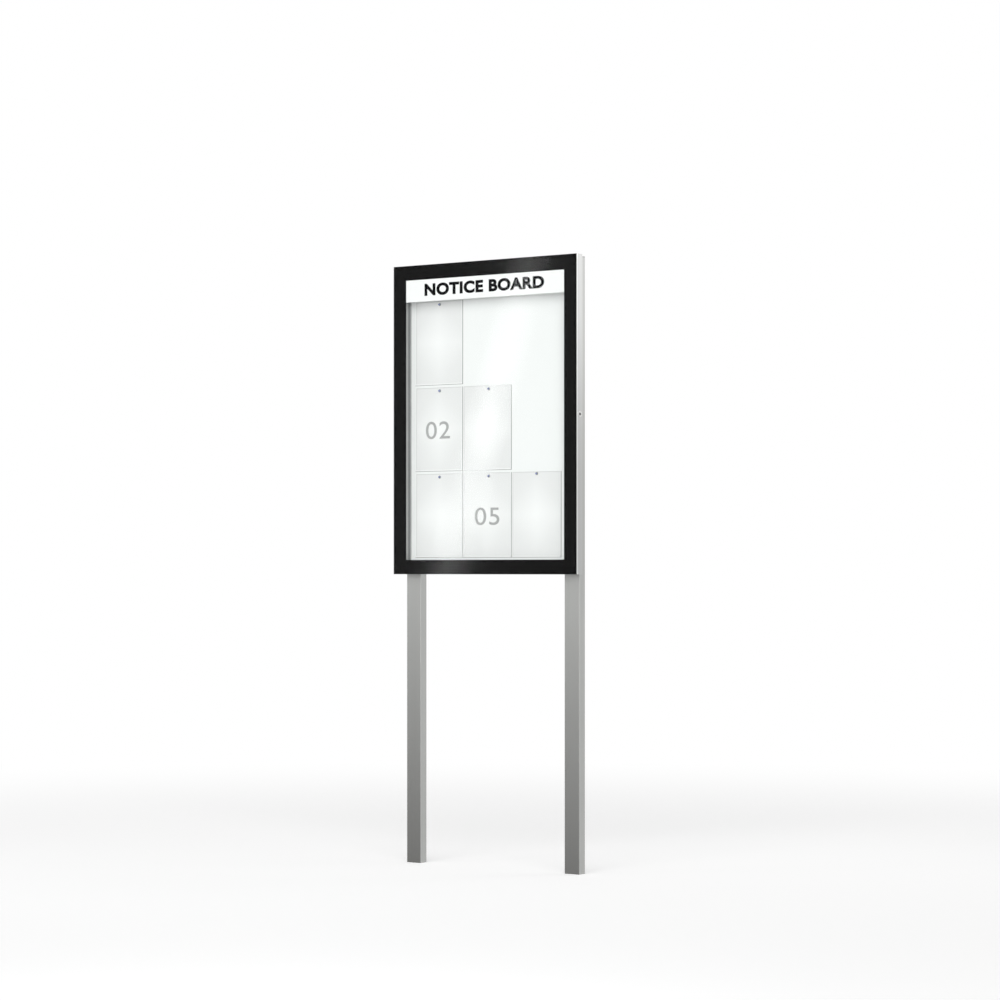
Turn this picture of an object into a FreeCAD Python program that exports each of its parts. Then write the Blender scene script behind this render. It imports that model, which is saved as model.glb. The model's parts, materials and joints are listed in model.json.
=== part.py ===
import FreeCAD, Part
import math
import os
import re
import Sketcher

# A lockable notice board on two posts, front towards -Y, +X to the viewer's right, +Z up.
# The origin lies on the ground, midway between the posts, at the middle of their depth.

doc = FreeCAD.newDocument("notice_board")

# Driving sizes in millimetres, angles in degrees

SIZES = (
    ("case_width", 800),
    ("case_height", 1100),
    ("case_bottom", 1034),
    ("door_depth", 35),
    ("rear_depth", 13),
    ("rear_inset", 10),
    ("profile_width", 50),
    ("profile_wall", 2),
    ("seam_gap", 0.3),
    ("fit_gap", 0.3),
    ("door_leg_reach", 22),
    ("door_chamber_width", 20),
    ("door_chamber_depth", 5),
    ("rear_chamber_width", 12),
    ("cleat_leg", 70),
    ("glass_thickness", 4),
    ("print_thickness", 0.3),
    ("tape_thickness", 1),
    ("tape_width", 20),
    ("tape_margin", 0.5),
    ("border_side", 55),
    ("border_top", 52),
    ("border_bottom", 51),
    ("header_height", 78),
    ("header_thickness", 2),
    ("bracket_width", 12),
    ("bracket_thickness", 1.5),
    ("display_depth", 38),
    ("board_thickness", 1),
    ("back_thickness", 2),
    ("bar_width", 40),
    ("seal_width", 9),
    ("seal_round", 3),
    ("post_width", 62),
    ("post_depth", 35),
    ("post_wall", 2.5),
    ("post_round", 1.5),
    ("post_inset", 23),
    ("post_top_drop", 6),
    ("plug_head", 3),
    ("plug_insert", 20),
    ("bolt_radius", 3),
    ("bolt_flats", 10),
    ("bolt_head_height", 4),
    ("bolt_hole_gap", 0.3),
    ("bolt_end_margin", 150),
    ("washer_radius", 6),
    ("washer_thickness", 1.6),
    ("sleeve_radius", 6),
    ("screw_radius", 1.9),
    ("screw_head_radius", 3.6),
    ("screw_head_height", 1.7),
    ("screw_length", 8),
    ("screw_gap", 0.1),
    ("back_screw_end_margin", 120),
    ("hinge_pin_radius", 2.5),
    ("hinge_pin_head_radius", 3.8),
    ("hinge_pin_head_height", 1.5),
    ("hinge_knuckle_radius", 4.5),
    ("hinge_pin_gap", 0.05),
    ("hinge_side_gap", 0.3),
    ("hinge_height", 66),
    ("hinge_leaf_thickness", 2),
    ("hinge_door_leaf_width", 22),
    ("hinge_case_leaf_width", 9),
    ("hinge_end_margin", 150),
    ("hinge_screw_spacing", 40),
    ("lock_radius", 7),
    ("lock_head_radius", 9.5),
    ("lock_head_height", 1.5),
    ("lock_length", 20),
    ("lock_nut_flats", 17),
    ("lock_nut_thickness", 4),
    ("core_radius", 5.5),
    ("core_gap", 0.05),
    ("core_tail", 6),
    ("core_recess", 0.2),
    ("core_tail_gap", 0.2),
    ("keyway_width", 1.8),
    ("keyway_height", 7),
    ("keyway_depth", 6),
    ("cam_thickness", 3),
    ("cam_hub_radius", 6.5),
    ("cam_screw_head_radius", 4.6),
    ("cam_screw_end_gap", 1),
    ("hook_inner_radius", 11.5),
    ("hook_outer_radius", 15),
    ("keeper_offset", 9),
    ("keeper_stud_radius", 1.75),
    ("keeper_plate", 2),
    ("keeper_height", 28),
    ("keeper_ear_height", 12),
    ("keeper_foot_width", 14),
    ("sheet_width", 210),
    ("sheet_height", 297),
    ("sheet_thickness", 0.3),
    ("sheet_gap_x", 3),
    ("sheet_gap_z", 10),
    ("sheet_margin_left", 68.6),
    ("sheet_tuck", 1.5),
    ("magnet_radius", 3.2),
    ("magnet_height", 5.3),
    ("magnet_plate_radius", 5.5),
    ("magnet_plate_thickness", 1.2),
    ("magnet_drop_left", 12),
    ("magnet_drop_centre", 12),
    ("magnet_drop_right", 7.3),
    ("magnet_shift_left", 4.3),
    ("magnet_shift_centre", 9),
    ("magnet_shift_right", 3.3),
)

# The hook of the cam in degrees, counted from straight back, with the lock turned shut
HOOK_START = -25
HOOK_END = 40
HOOK_ARM = 15
LOCK_TURN = 90

sheet = doc.addObject("Spreadsheet::Sheet", "dims")
for row, (alias, value) in enumerate(SIZES, start=1):
    sheet.set(f"A{row}", alias)
    sheet.set(f"B{row}", str(value))
    sheet.setAlias(f"B{row}", alias)
doc.recompute()

ALIASES = {alias for alias, value in SIZES}
WORD = re.compile(r"[a-z_]+[a-z0-9_]*")


def formula(text):
    """The text with each size's name pointed at its cell in the sheet."""
    return WORD.sub(lambda m: f"dims.{m.group()}" if m.group() in ALIASES else m.group(), text)


def bind(thing, prop, text):
    thing.setExpression(prop, formula(text))


def place(thing, x="0", y="0", z="0", axis=(0, 0, 1), angle=0):
    turn = FreeCAD.Rotation(FreeCAD.Vector(*axis), angle)
    thing.Placement = FreeCAD.Placement(FreeCAD.Vector(), turn)
    for name, text in (("x", x), ("y", y), ("z", z)):
        bind(thing, f"Placement.Base.{name}", text)
    return thing


# How far the cutting tools reach past what they cut
OVERCUT = "1"

# Two points nearer than this count as level
NEAR = 1e-6

# Planes and centres that several pieces share

Y_POST_FRONT = "(0 - post_depth / 2)"
Y_POST_BACK = "(post_depth / 2)"
Y_SEAM = f"({Y_POST_FRONT} - rear_depth)"
Y_FRONT = f"({Y_SEAM} - door_depth)"
Z_LOW = "case_bottom"
Z_HIGH = "(case_bottom + case_height)"
Z_MID = "(case_bottom + case_height / 2)"
HEADER_LOW = f"({Z_HIGH} - border_top - header_height)"
X_SIDE = "(case_width / 2)"
X_POST = "(case_width / 2 - post_inset - post_width / 2)"

# Depths counted back from the front face of the glass
PRINT_BACK = "(glass_thickness + print_thickness)"
FLANGE = f"({PRINT_BACK} + tape_thickness)"
FLANGE_BACK = f"({FLANGE} + profile_wall)"
BOARD = "(glass_thickness + display_depth)"
BOARD_BACK = f"({BOARD} + board_thickness)"
CASE_BACK = "(door_depth + rear_depth)"
SHEET_BACK = f"({CASE_BACK} - back_thickness)"

REAR_X = f"({X_SIDE} - rear_inset)"
REAR_LIP = "(profile_width - rear_inset)"
CHAMBER_END = "(rear_chamber_width + 2 * profile_wall)"
BOLT_HEIGHTS = (
    f"({Z_LOW} + bolt_end_margin)",
    Z_MID,
    f"({Z_HIGH} - bolt_end_margin)",
)
BOLT_HOLE = "(bolt_radius + bolt_hole_gap)"
SIDES = (-1, 1)


def depth(text):
    return f"({Y_FRONT} + {text})"


# Bodies, sketches and features


def new_body(label):
    body = doc.addObject("PartDesign::Body", label)
    body.Label = label
    return body


def new_sketch(body, role, name, offset=None):
    """A sketch on one of the body's own planes, or at an offset along that plane's normal."""
    sketch = body.newObject("Sketcher::SketchObject", name)
    plane = next(f for f in body.Origin.OriginFeatures if f.Role == role)
    sketch.AttachmentSupport = [(plane, "")]
    sketch.MapMode = "FlatFace"
    if offset is not None:
        bind(sketch, "AttachmentOffset.Base.z", offset)
    return sketch


def fix_point(sketch, geometry, position, name, x, y):
    """Ties a point of the sketch to the sketch's origin."""
    for kind, text in (("DistanceX", x), ("DistanceY", y)):
        link = Sketcher.Constraint(kind, -1, 1, geometry, position, 1.0)
        index = sketch.addConstraint(link)
        sketch.renameConstraint(index, name + kind[-1])
        bind(sketch, f"Constraints.{name}{kind[-1]}", text)


def outline(sketch, points, name="corner"):
    """A closed outline of straight edges through points given as formulas."""
    count = len(points)
    first = sketch.GeometryCount
    ring = [
        FreeCAD.Vector(math.cos(2 * math.pi * i / count), math.sin(2 * math.pi * i / count), 0)
        for i in range(count)
    ]
    for i in range(count):
        sketch.addGeometry(Part.LineSegment(ring[i], ring[(i + 1) % count]))
    for i in range(count):
        sketch.addConstraint(
            Sketcher.Constraint("Coincident", first + i, 2, first + (i + 1) % count, 1)
        )
    for i, (x, y) in enumerate(points):
        fix_point(sketch, first + i, 1, f"{name}{i}", x, y)


def rectangle(sketch, x, y, name="corner"):
    outline(sketch, [(x[0], y[0]), (x[1], y[0]), (x[1], y[1]), (x[0], y[1])], name)


def circle(sketch, x, y, radius, name="hole"):
    index = sketch.addGeometry(Part.Circle(FreeCAD.Vector(), FreeCAD.Vector(0, 0, 1), 1))
    fix_point(sketch, index, 3, name, x, y)
    size = sketch.addConstraint(Sketcher.Constraint("Radius", index, 1.0))
    sketch.renameConstraint(size, f"{name}Radius")
    bind(sketch, f"Constraints.{name}Radius", radius)


def pad(body, sketch, length, midplane=False, backwards=False):
    feature = body.newObject("PartDesign::Pad", f"{sketch.Name}_pad")
    feature.Profile = sketch
    feature.SideType = "Symmetric" if midplane else "One side"
    feature.Reversed = backwards
    bind(feature, "Length", length)
    doc.recompute()
    return feature


def pocket(body, sketch, length=None, backwards=False):
    """Cuts the sketch through the whole body, or to a length on one side, and sees that it cut."""
    before = body.Shape.Volume
    feature = body.newObject("PartDesign::Pocket", f"{sketch.Name}_cut")
    feature.Profile = sketch
    if length is None:
        feature.SideType = "Symmetric"
        feature.Type = "ThroughAll"
    else:
        feature.SideType = "One side"
        feature.Type = "Length"
        feature.Reversed = backwards
        bind(feature, "Length", length)
    doc.recompute()
    if body.Shape.Volume >= before:
        raise ValueError(f"{body.Label}: {sketch.Name} cuts nothing")
    return feature


def round_edges(body, radius, wanted):
    """Rounds the edges of the body's last feature that wanted picks by their ends."""
    tip = body.Tip
    names = [
        f"Edge{i}"
        for i, edge in enumerate(tip.Shape.Edges, start=1)
        if len(edge.Vertexes) == 2 and wanted(edge.Vertexes[0].Point, edge.Vertexes[1].Point)
    ]
    feature = body.newObject("PartDesign::Fillet", "rounding")
    feature.Base = (tip, names)
    bind(feature, "Radius", radius)
    doc.recompute()
    return feature


# Solids from primitives


def box(name, x, y, z):
    solid = doc.addObject("Part::Box", name)
    for prop, ends in (("Length", x), ("Width", y), ("Height", z)):
        bind(solid, prop, f"({ends[1]}) - ({ends[0]})")
    return place(solid, x[0], y[0], z[0])


ROD_TURNS = {"x": ((0, 1, 0), 90), "y": ((1, 0, 0), -90), "z": ((0, 0, 1), 0)}


def rod(name, axis, radius, span, x="0", y="0", z="0"):
    """A cylinder along an axis, over the span on that axis."""
    solid = doc.addObject("Part::Cylinder", name)
    bind(solid, "Radius", radius)
    bind(solid, "Height", f"({span[1]}) - ({span[0]})")
    at = {"x": x, "y": y, "z": z, axis: span[0]}
    turn_axis, angle = ROD_TURNS[axis]
    return place(solid, at["x"], at["y"], at["z"], turn_axis, angle)


def joined(label, solids):
    result = doc.addObject("Part::MultiFuse", label)
    result.Label = label
    result.Shapes = solids
    result.Refine = True
    return result


def cut(label, base, tools):
    result = doc.addObject("Part::Cut", label)
    result.Label = label
    result.Base = base
    result.Tool = tools[0] if len(tools) == 1 else joined(f"{label}_tools", tools)
    result.Refine = True
    return result


def copies(label, source, places):
    """One node that holds a copy of the source at each place."""
    links = []
    for i, where in enumerate(places):
        link = doc.addObject("App::Link", f"{label}_copy{i}")
        link.LinkedObject = source
        links.append(place(link, **where))
    result = doc.addObject("Part::Compound", label)
    result.Label = label
    result.Links = links
    return result


NODES = {}


def node(thing):
    NODES[thing.Label] = thing
    return thing


# Frame profiles. Each lies along its own X, with depth on Y and inward on Z, and is mitred.

MEMBERS = (
    ("bottom", 0),
    ("left", 90),
    ("top", 180),
    ("right", -90),
)


def member_place(side, inset):
    """Where a frame member's outer face lies, with its own Y counted from the glass."""
    low = f"{Z_LOW} + {inset}"
    high = f"{Z_HIGH} - {inset}"
    places = {
        "bottom": {"z": low},
        "top": {"z": high},
        "left": {"x": f"{inset} - {X_SIDE}", "z": Z_MID},
        "right": {"x": f"{X_SIDE} - {inset}", "z": Z_MID},
    }
    return places[side]


def frame_member(label, side, angle, inset, width, section, hollow):
    """A mitred length of hollow profile from its section, cut from outer corner to inner corner."""
    body = new_body(label)
    span = "case_width" if side in ("top", "bottom") else "case_height"
    half = f"(({span} - 2 * {inset}) / 2)"
    profile = new_sketch(body, "YZ_Plane", f"{label}_section")
    outline(profile, section)
    outline(profile, hollow, "hollow")
    pad(body, profile, f"2 * {half}", midplane=True)
    mitre = new_sketch(body, "XZ_Plane", f"{label}_mitre")
    for i, end in enumerate(SIDES):
        outer = f"{end} * ({half} + {OVERCUT})"
        inner = f"{end} * ({half} - {width} - {OVERCUT})"
        beyond = f"{width} + {OVERCUT}"
        outline(mitre, [(outer, f"-{OVERCUT}"), (outer, beyond), (inner, beyond)], f"end{i}")
    pocket(body, mitre)
    place(body, y=Y_FRONT, axis=(0, 1, 0), angle=angle, **member_place(side, inset))
    return body


def screw_holes(body, label, spots, reach):
    """Holes for small screws through the outer wall of a frame member."""
    holes = new_sketch(body, "XY_Plane", f"{label}_screw_holes")
    for i, (x, y) in enumerate(spots):
        circle(holes, x, y, "screw_radius + screw_gap", f"hole{i}")
    pocket(body, holes, reach, backwards=True)


# Door profile: front flange, outer wall, cleat chamber and inner leg

CHAMBER_START = "(profile_width - door_chamber_width - 2 * profile_wall)"
RIB_BACK = f"({FLANGE_BACK} + door_chamber_depth + profile_wall)"
DOOR_BACK = "(door_depth - seam_gap)"

DOOR_SECTION = [
    (FLANGE, "0"),
    (DOOR_BACK, "0"),
    (DOOR_BACK, "profile_wall"),
    (FLANGE_BACK, "profile_wall"),
    (FLANGE_BACK, CHAMBER_START),
    (RIB_BACK, CHAMBER_START),
    (RIB_BACK, "profile_width - profile_wall"),
    ("door_leg_reach", "profile_width - profile_wall"),
    ("door_leg_reach", "profile_width"),
    (FLANGE, "profile_width"),
]
DOOR_CHAMBER = [
    (FLANGE_BACK, f"{CHAMBER_START} + profile_wall"),
    (f"{RIB_BACK} - profile_wall", f"{CHAMBER_START} + profile_wall"),
    (f"{RIB_BACK} - profile_wall", "profile_width - profile_wall"),
    (FLANGE_BACK, "profile_width - profile_wall"),
]

# Rear case profile: outer wall, front web, cleat chamber and the lip that holds the board

REAR_SECTION = [
    ("door_depth", "0"),
    (CASE_BACK, "0"),
    (CASE_BACK, "profile_wall"),
    (SHEET_BACK, "profile_wall"),
    (SHEET_BACK, CHAMBER_END),
    ("door_depth + profile_wall", CHAMBER_END),
    ("door_depth + profile_wall", f"{REAR_LIP} - profile_wall"),
    (BOARD, f"{REAR_LIP} - profile_wall"),
    (BOARD, REAR_LIP),
    ("door_depth", REAR_LIP),
]
REAR_CHAMBER = [
    ("door_depth + profile_wall", "profile_wall"),
    (f"{SHEET_BACK} - profile_wall", "profile_wall"),
    (f"{SHEET_BACK} - profile_wall", f"{CHAMBER_END} - profile_wall"),
    ("door_depth + profile_wall", f"{CHAMBER_END} - profile_wall"),
]

# Hinge places, shared by the frames, the leaves and the pins

HINGES = ("lower", "middle", "upper")
HINGE_HEIGHTS = {
    "lower": f"({Z_LOW} + hinge_end_margin)",
    "middle": Z_MID,
    "upper": f"({Z_HIGH} - hinge_end_margin)",
}
HINGE_X = f"(0 - {X_SIDE} - hinge_knuckle_radius - hinge_side_gap)"
HINGE_Y = Y_SEAM
# Depths of the leaves' screws behind the glass
DOOR_SCREW_DEPTH = (
    "(door_depth - hinge_knuckle_radius - hinge_side_gap - hinge_door_leaf_width / 2)"
)
CASE_LEAF_START = "(door_depth + profile_wall + hinge_side_gap)"
CASE_SCREW_DEPTH = f"({CASE_LEAF_START} + hinge_case_leaf_width / 2)"


def hinge_screw_spots(depth_text):
    """Screw holes of the hinges on a left member, whose own X runs down from its middle."""
    spots = []
    for name in HINGES:
        for end in SIDES:
            along = f"{Z_MID} - {HINGE_HEIGHTS[name]} + {end} * hinge_screw_spacing / 2"
            spots.append((along, depth_text))
    return spots


def door_frame():
    for side, angle in MEMBERS:
        label = f"door_profile_{side}"
        body = frame_member(label, side, angle, "0", "profile_width", DOOR_SECTION, DOOR_CHAMBER)
        if side == "left":
            screw_holes(body, label, hinge_screw_spots(DOOR_SCREW_DEPTH), f"profile_wall + {OVERCUT}")
        if side == "right":
            bore = new_sketch(body, "XY_Plane", "lock_bore")
            circle(bore, "0", "door_depth / 2", "lock_radius + bolt_hole_gap")
            pocket(body, bore, f"profile_wall + {OVERCUT}", backwards=True)
        node(body)


def rear_frame():
    for side, angle in MEMBERS:
        label = f"case_profile_{side}"
        body = frame_member(
            label, side, angle, "rear_inset", REAR_LIP, REAR_SECTION, REAR_CHAMBER
        )
        if side == "left":
            screw_holes(body, label, hinge_screw_spots(CASE_SCREW_DEPTH), f"profile_wall + {OVERCUT}")
        if side == "right":
            holes = new_sketch(body, "XZ_Plane", "keeper_screw_holes")
            for i, end in enumerate(SIDES):
                circle(
                    holes,
                    f"{end} * {KEEPER_SCREW_Z}",
                    f"{KEEPER_SCREW_U} - rear_inset",
                    "screw_radius + screw_gap",
                    f"hole{i}",
                )
            pocket(body, holes, f"door_depth + profile_wall + {OVERCUT}")
        start = f"0 - {SHEET_BACK} + profile_wall + {OVERCUT}"
        back = new_sketch(body, "XZ_Plane", f"{label}_back_holes", start)
        for i, along in enumerate(back_screw_places(side)):
            circle(back, along, BACK_SCREW_U, "screw_radius + screw_gap", f"hole{i}")
        pocket(body, back, f"profile_wall + 2 * {OVERCUT}")
        node(body)


# Corner cleats: flat angles inside the chambers


def corner_cleats(label, inset, start, end, low, high):
    body = new_body(f"{label}_pattern")
    shape = new_sketch(body, "XZ_Plane", f"{label}_angle")
    outline(
        shape,
        [
            (start, start),
            ("cleat_leg", start),
            ("cleat_leg", end),
            (end, end),
            (end, "cleat_leg"),
            (start, "cleat_leg"),
        ],
    )
    pad(body, shape, f"{high} - {low}", backwards=True)
    left = f"{inset} - {X_SIDE}"
    right = f"{X_SIDE} - {inset}"
    bottom = f"{Z_LOW} + {inset}"
    top = f"{Z_HIGH} - {inset}"
    y = depth(low)
    corners = ((left, bottom, 0), (right, bottom, -90), (right, top, 180), (left, top, 90))
    node(copies(label, body, [
        {"x": x, "y": y, "z": z, "axis": (0, 1, 0), "angle": angle} for x, z, angle in corners
    ]))


# Screws, bolts and washers


def screw_pattern(name, length):
    """A countersunk screw along +Z, its flat head at the origin."""
    body = new_body(name)
    shape = new_sketch(body, "XZ_Plane", f"{name}_half")
    outline(
        shape,
        [
            ("0", "0"),
            ("screw_head_radius", "0"),
            ("screw_radius", "screw_head_height"),
            ("screw_radius", f"{length} - screw_radius"),
            ("0", length),
        ],
    )
    turn = body.newObject("PartDesign::Revolution", f"{name}_turn")
    turn.Profile = shape
    turn.ReferenceAxis = (shape, ["V_Axis"])
    turn.Angle = 360
    doc.recompute()
    return body


def sink(name, axis, sign, x, y, z):
    """The countersunk hole for a screw whose head lies at x, y, z and points along the axis."""
    cone = doc.addObject("Part::Cone", f"{name}_cone")
    bind(cone, "Radius1", "screw_head_radius + screw_gap")
    bind(cone, "Radius2", "screw_radius + screw_gap")
    bind(cone, "Height", "screw_head_height")
    turn_axis, angle = ROD_TURNS[axis]
    if sign < 0:
        turn_axis, angle = ((1, 0, 0), 90) if axis == "y" else ((0, 1, 0), -90)
    place(cone, x, y, z, turn_axis, angle)
    start = {"x": x, "y": y}[axis]
    ends = (start, f"{start} + screw_length") if sign > 0 else (f"{start} - screw_length", start)
    hole = rod(f"{name}_hole", axis, "screw_radius + screw_gap", ends, x, y, z)
    return [cone, hole]


def hexagon(sketch, flats):
    corner = 1 / math.sqrt(3)
    outline(
        sketch,
        [
            (
                f"{flats} * {corner * math.cos(math.radians(60 * i)):.6f}",
                f"{flats} * {corner * math.sin(math.radians(60 * i)):.6f}",
            )
            for i in range(6)
        ],
        "flat",
    )


def bolt_pattern():
    """A hexagon bolt along -Y, its head's seat at the origin."""
    body = new_body("bolt_pattern")
    head = new_sketch(body, "XZ_Plane", "bolt_head")
    hexagon(head, "bolt_flats")
    pad(body, head, "bolt_head_height", backwards=True)
    shank = new_sketch(body, "XZ_Plane", "bolt_shank")
    circle(shank, "0", "0", "bolt_radius")
    pad(body, shank, BOLT_LENGTH)
    return body


BAR_THICKNESS = f"({SHEET_BACK} - {BOARD_BACK})"
BOLT_LENGTH = f"(washer_thickness + post_depth + back_thickness + {BAR_THICKNESS} - fit_gap)"


def bolt_places(y):
    return [
        {"x": f"{side} * {X_POST}", "y": y, "z": z} for side in SIDES for z in BOLT_HEIGHTS
    ]


def ring_pattern(name, outer, inner, length):
    """A tube or washer along +Y from the origin."""
    return cut(
        name,
        rod(f"{name}_outer", "y", outer, ("0", length)),
        [rod(f"{name}_inner", "y", inner, ("0", length))],
    )


# Posts: extruded tubes with a plug in each top end


def posts():
    height = f"({Z_HIGH} - post_top_drop)"
    for name, side in (("left", -1), ("right", 1)):
        body = new_body(f"post_{name}")
        section = new_sketch(body, "XY_Plane", f"post_{name}_section")
        half_x, half_y = "(post_width / 2)", "(post_depth / 2)"
        rectangle(section, (f"0 - {half_x}", half_x), (f"0 - {half_y}", half_y))
        rectangle(
            section,
            (f"post_wall - {half_x}", f"{half_x} - post_wall"),
            (f"post_wall - {half_y}", f"{half_y} - post_wall"),
            "hollow",
        )
        pad(body, section, height)
        edge = sheet.post_width / 2 - sheet.post_wall / 2
        round_edges(
            body,
            "post_round",
            lambda a, b: abs(a.z - b.z) > NEAR and min(abs(a.x), abs(b.x)) > edge,
        )
        holes = new_sketch(body, "XZ_Plane", f"post_{name}_bolt_holes")
        for i, z in enumerate(BOLT_HEIGHTS):
            circle(holes, "0", z, BOLT_HOLE, f"hole{i}")
        pocket(body, holes)
        node(place(body, x=f"{side} * {X_POST}"))
    plug = new_body("plug_pattern")
    cap = new_sketch(plug, "XY_Plane", "plug_cap")
    rectangle(cap, ("0 - post_width / 2", "post_width / 2"), ("0 - post_depth / 2", "post_depth / 2"))
    pad(plug, cap, "plug_head")
    round_edges(
        plug,
        "post_round",
        lambda a, b: abs(a.x - b.x) + abs(a.y - b.y) < NEAR,
    )
    insert = new_sketch(plug, "XY_Plane", "plug_insert")
    rectangle(
        insert,
        ("post_wall + fit_gap - post_width / 2", "post_width / 2 - post_wall - fit_gap"),
        ("post_wall + fit_gap - post_depth / 2", "post_depth / 2 - post_wall - fit_gap"),
    )
    pad(plug, insert, "plug_insert", backwards=True)
    node(copies("post_plugs", plug, [{"x": f"{side} * {X_POST}", "z": height} for side in SIDES]))


def post_fixings():
    node(copies("post_bolts", bolt_pattern(), bolt_places(f"{Y_POST_BACK} + washer_thickness")))
    washer = ring_pattern("washer_pattern", "washer_radius", BOLT_HOLE, "washer_thickness")
    node(copies("post_washers", washer, bolt_places(Y_POST_BACK)))
    sleeve = ring_pattern("sleeve_pattern", "sleeve_radius", BOLT_HOLE, "post_depth - 2 * post_wall")
    node(copies("post_sleeves", sleeve, bolt_places(f"{Y_POST_FRONT} + post_wall")))


# Rear sheet, bars, board and seal

BACK_SCREW_U = "(profile_wall + rear_chamber_width / 2)"


def back_screw_places(side):
    """Places of the rear sheet's screws along a frame member, from its middle."""
    span = "case_width" if side in ("top", "bottom") else "case_height"
    reach = f"({span} / 2 - back_screw_end_margin)"
    if side in ("top", "bottom"):
        return [f"0 - {reach}", "0", reach]
    return [f"0 - {reach}", f"0 - {reach} / 3", f"{reach} / 3", reach]


def back_screw_points():
    """The same places in the object's own X and Z."""
    points = []
    for side, angle in MEMBERS:
        for along in back_screw_places(side):
            near = f"(rear_inset + {BACK_SCREW_U})"
            points.append({
                "bottom": (along, f"{Z_LOW} + {near}"),
                "top": (along, f"{Z_HIGH} - {near}"),
                "left": (f"{near} - {X_SIDE}", f"{Z_MID} + {along}"),
                "right": (f"{X_SIDE} - {near}", f"{Z_MID} + {along}"),
            }[side])
    return points


def rear_closing():
    inner = "(rear_inset + profile_wall + fit_gap)"
    plate = box(
        "back_blank",
        (f"{inner} - {X_SIDE}", f"{X_SIDE} - {inner}"),
        (depth(SHEET_BACK), Y_POST_FRONT),
        (f"{Z_LOW} + {inner}", f"{Z_HIGH} - {inner}"),
    )
    tools = []
    for i, (x, z) in enumerate(back_screw_points()):
        tools += sink(f"back_sink{i}", "y", -1, x, Y_POST_FRONT, z)
    for i, where in enumerate(bolt_places("0")):
        ends = (depth(BOARD_BACK), Y_POST_FRONT)
        tools.append(rod(f"back_bolt_hole{i}", "y", BOLT_HOLE, ends, x=where["x"], z=where["z"]))
    node(cut("back_sheet", plate, tools))
    screw = screw_pattern("back_screw_pattern", "screw_length")
    node(copies("back_screws", screw, [
        {"x": x, "y": Y_POST_FRONT, "z": z, "axis": (1, 0, 0), "angle": 90}
        for x, z in back_screw_points()
    ]))
    ends = f"(rear_inset + {CHAMBER_END} + fit_gap)"
    for name, side in (("left", -1), ("middle", 0), ("right", 1)):
        bar = box(
            f"bar_{name}_blank",
            (f"{side} * {X_POST} - bar_width / 2", f"{side} * {X_POST} + bar_width / 2"),
            (depth(BOARD_BACK), depth(SHEET_BACK)),
            (f"{Z_LOW} + {ends}", f"{Z_HIGH} - {ends}"),
        )
        if side == 0:
            bar.Label = "backing_bar_middle"
            node(bar)
            continue
        holes = [
            rod(
                f"bar_{name}_hole{i}",
                "y",
                "bolt_radius + screw_gap",
                (depth(BOARD_BACK), depth(SHEET_BACK)),
                x=f"{side} * {X_POST}",
                z=z,
            )
            for i, z in enumerate(BOLT_HEIGHTS)
        ]
        node(cut(f"backing_bar_{name}", bar, holes))
    board = box(
        "display_board",
        (f"{ends} - {X_SIDE}", f"{X_SIDE} - {ends}"),
        (depth(BOARD), depth(BOARD_BACK)),
        (f"{Z_LOW} + {ends}", f"{Z_HIGH} - {ends}"),
    )
    node(board)


def case_seal():
    """The rubber seal stands on the front web of the case, under the door's inner leg."""
    body = new_body("case_seal")
    plan = new_sketch(body, "XZ_Plane", "seal_plan")
    outer = "(profile_width - seal_width)"
    for name, edge in (("outer", outer), ("inner", "profile_width")):
        rectangle(
            plan,
            (f"{edge} - {X_SIDE}", f"{X_SIDE} - {edge}"),
            (f"{Z_LOW} + {edge}", f"{Z_HIGH} - {edge}"),
            name,
        )
    pad(body, plan, "door_depth - door_leg_reach - fit_gap")
    front = body.Tip.Shape.BoundBox.YMin
    round_edges(body, "seal_round", lambda a, b: max(abs(a.y - front), abs(b.y - front)) < NEAR)
    node(place(body, y=Y_SEAM))


# Glass, printed border, tape and header


def flat_ring(label, outer, inner, y):
    """A flat ring in the plane of the front from the margins of its outer and inner edges."""
    blanks = []
    for name, (side, low, high) in (("outer", outer), ("inner", inner)):
        blanks.append(box(
            f"{label}_{name}",
            (f"{side} - {X_SIDE}", f"{X_SIDE} - {side}"),
            y,
            (f"{Z_LOW} + {low}", f"{Z_HIGH} - {high}"),
        ))
    return node(cut(label, blanks[0], [blanks[1]]))


def glazing():
    pane = box(
        "glass_pane",
        (f"0 - {X_SIDE}", X_SIDE),
        (Y_FRONT, depth("glass_thickness")),
        (Z_LOW, Z_HIGH),
    )
    node(pane)
    flat_ring(
        "black_border",
        ("0", "0", "0"),
        ("border_side", "border_bottom", "border_top"),
        (depth("glass_thickness"), depth(PRINT_BACK)),
    )
    near = "tape_margin"
    far = "(tape_margin + tape_width)"
    flat_ring(
        "bonding_tape",
        (near, near, near),
        (far, far, far),
        (depth(PRINT_BACK), depth(FLANGE)),
    )


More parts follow.
